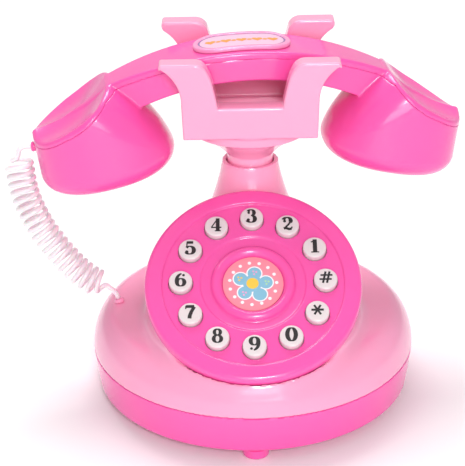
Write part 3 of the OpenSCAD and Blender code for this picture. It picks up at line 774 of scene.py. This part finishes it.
crown_r = 110.8
handle_half = 11.0
plan_r = 227.0
swoop_at = (82.35, crown_z + 16.2)
swoop_r = 44.0
kink_x = 47.6
crest_length = 14.0
scoop_half = 17.0
scoop_depth = 1.6
cheek_at = (34.5, crown_z - 15.4)
cup_at = (46.7, crown_z - 43.7)
cup_tilt = math.radians(12)
cup_rx = 23.6
cup_ry = 20.5
cup_draft = 0.07
cup_round = 7.0
cheek_round = 13.0
cup_power = 2.3
cover_t = 2.2
handset_x = float(ear_middle[0] + mouth_middle[0]) / 2
handset_place = Matrix.Translation((handset_x * mm, neck_y * mm, 0)) @ Matrix.Rotation(handset_yaw, 4, "Z")


def cup_side(x, y, z):
    """Distance to a cup's side wall, and height above its underside."""
    across = (x - cup_at[0]) * math.cos(cup_tilt) - (z - cup_at[1]) * math.sin(cup_tilt)
    height = (x - cup_at[0]) * math.sin(cup_tilt) + (z - cup_at[1]) * math.cos(cup_tilt)
    rx, ry = cup_rx - cup_draft * height, cup_ry - cup_draft * height
    share = ((np.abs(across) / rx) ** cup_power + (np.abs(y) / ry) ** cup_power) ** (1 / cup_power)
    return (share - 1) * ry, height


def swoop_top(x, z):
    """Distance above the hollow curve that falls from the end of the handle along a cup."""
    return swoop_r - np.hypot(x - swoop_at[0], z - swoop_at[1])


def scoop(x, y):
    """Depth of the shallow scoops on either side of the crest."""
    begun = np.clip((x - kink_x) / 9, 0, 1)
    share = np.clip(np.abs(y) / scoop_half, 0, 1)
    return scoop_depth * begun * begun * (3 - 2 * begun) * 4 * share * (1 - share)


def crown_top(x, z):
    return np.hypot(x, z - crown_z + crown_r) - crown_r


def below_handle(x, z):
    return under_r - np.hypot(x, z - under_z + under_r)


def handset_field(x, y, z):
    x = np.abs(x)
    top = meet(crown_top(x, z), swoop_top(x, z), 1.0)
    waist = plan_r - np.sqrt(plan_r ** 2 - np.minimum(x, 60) ** 2)
    narrowing = 1 - np.clip((x - kink_x) / crest_length, 0, 1)
    side = np.abs(y) - (handle_half - waist) * narrowing
    handle = meet(meet(top, side, 0.9), np.maximum(below_handle(x, z), x - kink_x - crest_length), 0.6)
    cup_wall, height = cup_side(x, y, z)
    cheek = 0.908 * (z - cheek_at[1] - 0.46 * (x - cheek_at[0]))
    cup = meet(meet(cup_wall, -height, cup_round), cheek, cheek_round)
    cup = meet(cup, swoop_top(x, z + scoop(x, y)), 1.2)
    return join(handle, np.maximum(cup, crown_top(x, z)), 0.8)


def split_height(x, y, z):
    """Distance above the joint between lower shell and top cover."""
    x = np.abs(x)
    over_cup = swoop_top(np.maximum(x, kink_x), z + cover_t + scoop(x, y))
    return np.where(x < kink_x, crown_top(x, z) + cover_t, over_cup)


handset_low = (-75.5, -22.5, crown_z - 53)
handset_high = (75.5, 22.5, crown_z + 2)


def lower_field(x, y, z):
    half = hollow(handset_field(x, y, z), wall)
    for end in (-1, 1):
        outer = end * x - cup_at[0]
        across = outer * math.cos(cup_tilt) - (z - cup_at[1]) * math.sin(cup_tilt)
        height = outer * math.sin(cup_tilt) + (z - cup_at[1]) * math.cos(cup_tilt)
        half = cut(half, np.maximum(np.hypot(across, y) - 11.9, np.abs(height) - 1.25), 0.25)
        half = np.maximum(half, -np.maximum(np.hypot(across, y) - 10.3, np.abs(height) - 3))
        boss = np.hypot(x - end * 13.0, y)
        half = np.minimum(half, np.maximum(boss - 3.0, np.maximum(below_handle(x, z), z - crown_z + 7.5)))
        half = np.maximum(half, -np.maximum(boss - 2.2, z - crown_z + 9.5))
    return np.maximum(half, split_height(x, y, z))


def cover_field(x, y, z):
    return np.maximum(hollow(handset_field(x, y, z), wall), -split_height(x, y, z))


lower_piece = mould("handset_body", lower_field, handset_low, handset_high, 0.36, hot_pink, handset_place)
cover_piece = mould("handset_cover", cover_field, handset_low, handset_high, 0.36, hot_pink, handset_place)
for piece, replaced in ((lower_piece, "handset_lower_shell"), (cover_piece, "handset_top_cover")):
    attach(piece, "handset")
    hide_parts(replaced)


# ---------------------------------------------------------------------------------------------
# Badge: a raised oval plaque on top of the handle, glued on. Its pale label has a fine outline
# and a row of small gold hearts and dots.
# ---------------------------------------------------------------------------------------------

badge_pink = plastic("badge_pink_plastic", (0.97, 0.33, 0.58), (0.95, 0.26, 0.52))
label_ink = ink("label_ink", (0.9, 0.52, 0.68))
outline_ink = ink("outline_ink", (0.3, 0.15, 0.36))
gold_ink = ink("gold_ink", (0.9, 0.33, 0.05))
badge_x = -1.8
badge_lift = 1.5
label_lift = 1.15


def stadium(x, y, half_length, half_width):
    return np.hypot(np.maximum(np.abs(x) - half_length + half_width, 0), y) - half_width


def badge_field(x, y, z):
    around = np.hypot(x, z - crown_z + crown_r)
    layer = np.maximum(around - crown_r - badge_lift, crown_r + 0.02 - around)
    plaque = meet(stadium(x - badge_x, y, 16.3, 8.2), layer, 0.45)
    return cut(plaque, np.maximum(stadium(x - badge_x, y, 14.6, 6.4), crown_r + label_lift - around), 0.2)


def on_handle(x, y, lift):
    radius = crown_r + lift
    return (badge_x + x, y, crown_z - crown_r + math.sqrt(radius ** 2 - (badge_x + x) ** 2))


def stadium_line(half_length, half_width, steps=14):
    straight_half = half_length - half_width
    rows = [(straight_half - 2 * straight_half * i / 8, half_width) for i in range(9)]
    left = [(-straight_half + half_width * math.cos(a), half_width * math.sin(a))
            for a in np.radians(np.linspace(90, 270, steps))]
    return rows[1:-1] + left + [(-x, -y) for x, y in rows[1:-1]] + [(-x, -y) for x, y in left]


def heart(x, y, size):
    line = []
    for t in np.linspace(0, 2 * math.pi, 28, endpoint=False):
        rise = 13 * math.cos(t) - 5 * math.cos(2 * t) - 2 * math.cos(3 * t) - math.cos(4 * t)
        line.append((x + size * 0.53 * math.sin(t) ** 3, y + size * 0.033 * rise))
    return line


def add_band(name, outer, inner, lift, material):
    points = [on_handle(x, y, lift) for x, y in outer] + [on_handle(x, y, lift) for x, y in inner]
    count = len(outer)
    faces = [(i, (i + 1) % count, count + (i + 1) % count, count + i) for i in range(count)]
    return add_mesh(name, points, faces, material, handset_place)


def add_label(name, half_length, half_width, lift, material):
    """A label that follows the bend of the handle, in narrow strips."""
    points, faces = [], []
    for x in np.linspace(-half_length, half_length, 41):
        reach = half_width if abs(x) < half_length - half_width else math.sqrt(
            max(half_width ** 2 - (abs(x) - half_length + half_width) ** 2, 0.0001))
        points += [on_handle(x, -reach, lift), on_handle(x, reach, lift)]
    faces = [(2 * i, 2 * i + 2, 2 * i + 3, 2 * i + 1) for i in range(40)]
    return add_mesh(name, points, faces, material, handset_place)


badge = mould("badge_frame", badge_field, (badge_x - 17, -9, crown_z - 5), (badge_x + 17, 9, crown_z + 2.2),
              0.25, badge_pink, handset_place)
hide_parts("badge_plate")
outline_outer, outline_inner = stadium_line(14.6, 6.4), stadium_line(14.0, 5.8)
hearts = [heart(x, 0.1, 3.4) for x in (-10.4, -5.2, 0.0, 5.2, 10.4)]
heart_dots = [circle(x, 0, 0.8, 14) for x in (-7.8, -2.6, 2.6, 7.8)]
badge_prints = [
    add_label("badge_label", 14.5, 6.3, label_lift + 0.02, label_ink),
    add_band("badge_outline", outline_outer, outline_inner, label_lift + 0.05, outline_ink),
    print_flat("badge_hearts", hearts, label_lift + 0.06, gold_ink, handset_place, on_handle),
    print_flat("badge_dots", heart_dots, label_lift + 0.06, gold_ink, handset_place, on_handle),
]
for piece in [badge] + badge_prints:
    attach(piece, "handset")


# ---------------------------------------------------------------------------------------------
# Curly cord: a thin soft PVC cord coiled like a spring, from the left cup down to the back of
# the base. It hangs freely between two small grommets, and it carries nothing.
# ---------------------------------------------------------------------------------------------

cord_pvc = plastic("cord_pvc", (0.98, 0.83, 0.88), (0.97, 0.79, 0.85), 0.3, glow=0.6)
cord_pvc.node_tree.nodes["Principled BSDF"].inputs["Transmission Weight"].default_value = 0.05
for name, finish in (("handset_cord_grommet", hot_pink), ("base_cord_grommet", light_pink)):
    part = frame["nodes"][name]
    part.data.materials.clear()
    part.data.materials.append(finish)
wire_r = 0.8
coil_r = 4.2
coil_turns = 20
turn_points = 20
tail_down = [(-46.3, 2, 31.8), (-46.75, 2, 33.2), (-48.2, 2.05, 35.1), (-50, 2.2, 36.3)]
coil_route = [(-52, 2.4, 37), (-55, 3, 38.4), (-59.6, 4, 41.8), (-64, 5, 46.5), (-68, 6, 51.5),
              (-71.6, 7, 56.9), (-74.6, 7.5, 63.5), (-76.6, 8, 69.9), (-77.6, 9, 76.5), (-78, 9.6, 80.7)]
tail_up = [(-78.1, 9.7, 82.9), (-77.5, 9.8, 84.5), (-76.2, 9.9, 85.2), (-73.72, 10.31, 85.2)]


def smooth_line(points, spacing):
    """Evenly spaced points on a smooth curve through the given ones."""
    points = [np.array(p, float) for p in points]
    dense = []
    for i in range(len(points) - 1):
        p0, p1, p2 = points[max(i - 1, 0)], points[i], points[i + 1]
        p3 = points[min(i + 2, len(points) - 1)]
        for t in np.linspace(0, 1, 24, endpoint=False):
            dense.append(0.5 * (2 * p1 + (p2 - p0) * t + (2 * p0 - 5 * p1 + 4 * p2 - p3) * t ** 2
                                + (3 * p1 - p0 - 3 * p2 + p3) * t ** 3))
    dense.append(points[-1])
    dense = np.array(dense)
    run = np.concatenate([[0], np.cumsum(np.linalg.norm(np.diff(dense, axis=0), axis=1))])
    marks = np.linspace(0, run[-1], max(int(run[-1] / spacing), 2) + 1)
    return np.stack([np.interp(marks, run, dense[:, k]) for k in range(3)], axis=1), run[-1]


core_line, core_length = smooth_line(tail_down + coil_route + tail_up, 0.05)
lead_in = float(smooth_line(tail_down + coil_route[:1], 0.05)[1])
lead_out = float(smooth_line(coil_route[-1:] + tail_up, 0.05)[1])
coil_length = core_length - lead_in - lead_out
steps = coil_turns * turn_points
cord_path = []
for i in range(-24, steps + 25):
    if i < 0:
        along = lead_in * (i + 24) / 24
    elif i > steps:
        along = lead_in + coil_length + lead_out * (i - steps) / 24
    else:
        along = lead_in + coil_length * i / steps
    k = min(int(along / core_length * (len(core_line) - 1)), len(core_line) - 2)
    here = core_line[k] + (core_line[k + 1] - core_line[k]) * (along / core_length * (len(core_line) - 1) - k)
    ahead, back = core_line[min(k + 12, len(core_line) - 1)], core_line[max(k - 12, 0)]
    heading = Vector(ahead - back).normalized()
    side = heading.cross(Vector((0, 1, 0))).normalized()
    other = heading.cross(side)
    ramp = min(max((i + 10) / 20, 0), max((steps + 10 - i) / 20, 0), 1)
    ramp = ramp * ramp * (3 - 2 * ramp)
    angle = 2 * math.pi * i / turn_points
    cord_path.append(Vector(here) + coil_r * ramp * (math.cos(angle) * side + math.sin(angle) * other))


def tube(name, path, radius, sides, material):
    """A tube along a path, with closed ends, its ring carried along without twisting."""
    points, faces = [], []
    across = None
    for i, spot in enumerate(path):
        heading = (path[min(i + 1, len(path) - 1)] - path[max(i - 1, 0)]).normalized()
        if across is None:
            across = heading.orthogonal().normalized()
        across = (across - heading * across.dot(heading)).normalized()
        other = heading.cross(across)
        points += [tuple(spot + radius * (math.cos(a) * across + math.sin(a) * other))
                   for a in (2 * math.pi * k / sides for k in range(sides))]
    for i in range(len(path) - 1):
        for k in range(sides):
            j = (k + 1) % sides
            faces.append((i * sides + k, i * sides + j, (i + 1) * sides + j, (i + 1) * sides + k))
    faces += [tuple(range(sides - 1, -1, -1)), tuple(range((len(path) - 1) * sides, len(path) * sides))]
    return add_mesh(name, points, faces, material)


cord_piece = tube("curly_cord", cord_path, wire_r, 12, cord_pvc)
cord_metres = sum((b - a).length for a, b in zip(cord_path, cord_path[1:])) * mm
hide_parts("cord_tail_top", "cord_coil", "cord_tail_bottom")
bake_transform(cord_piece)


# ---------------------------------------------------------------------------------------------
# Stage: a pale floor that curves up behind, a broad soft lamp above and behind, and two lamps in
# front, as in a plain product studio. The camera stands in front and looks down on the dial.
# ---------------------------------------------------------------------------------------------

def pale_floor():
    material = bpy.data.materials.new("studio_floor")
    material.use_nodes = True
    shader = material.node_tree.nodes["Principled BSDF"]
    shader.inputs["Base Color"].default_value = (0.97, 0.965, 0.967, 1)
    shader.inputs["Roughness"].default_value = 0.6
    profile = [(-3.0, 0.0), (1.2, 0.0)] + arc((1.2, 0.8), 0.8, -90, 0, 10)[1:] + [(2.0, 3.0)]
    points = [(side * 4.0 / mm, y / mm, z / mm) for side in (-1, 1) for y, z in profile]
    count = len(profile)
    faces = [(i, i + count, i + 1 + count, i + 1) for i in range(count - 1)]
    return add_mesh("studio_floor", points, faces, material)


def soft_lamp(name, place, target, size, power):
    light = bpy.data.lights.new(name, "AREA")
    light.shape = "RECTANGLE"
    light.size, light.size_y = size
    light.energy = power
    lamp = bpy.data.objects.new(name, light)
    lamp.location = place
    lamp.rotation_euler = (Vector(target) - Vector(place)).to_track_quat("-Z", "Y").to_euler()
    bpy.context.scene.collection.objects.link(lamp)


pale_floor()
soft_lamp("top_light", (-0.1, 0.4, 0.95), (0, 0, 0.05), (0.7, 0.45), 6.5)
soft_lamp("front_light", (0.1, -0.95, 0.62), (0, 0, 0.07), (0.2, 0.2), 4.5)
soft_lamp("low_fill", (0.1, -1.15, 0.3), (0, 0, 0.08), (0.6, 0.35), 2.6)
world = bpy.data.worlds.new("studio_air")
world.use_nodes = True
world.node_tree.nodes["Background"].inputs["Color"].default_value = (1.0, 0.99, 0.995, 1)
world.node_tree.nodes["Background"].inputs["Strength"].default_value = 0.5
bpy.context.scene.world = world
bpy.context.scene.view_settings.view_transform = "Standard"

view_down = math.radians(24.962)
view_roll = math.radians(-0.95)
forward = Vector((0, math.cos(view_down), -math.sin(view_down)))
level_right = Vector((1, 0, 0))
level_up = level_right.cross(forward)
right = level_right * math.cos(view_roll) + level_up * math.sin(view_roll)
up = level_up * math.cos(view_roll) - level_right * math.sin(view_roll)
lens_data = bpy.data.cameras.new("studio_camera")
lens_data.lens = 121.08
lens_data.sensor_width = 36.0
camera = bpy.data.objects.new("studio_camera", lens_data)
camera.matrix_world = Matrix((
    (right.x, up.x, -forward.x, -6.454 * mm),
    (right.y, up.y, -forward.y, -479.65 * mm),
    (right.z, up.z, -forward.z, 280.02 * mm),
    (0, 0, 0, 1)))
bpy.context.scene.collection.objects.link(camera)
bpy.context.scene.camera = camera
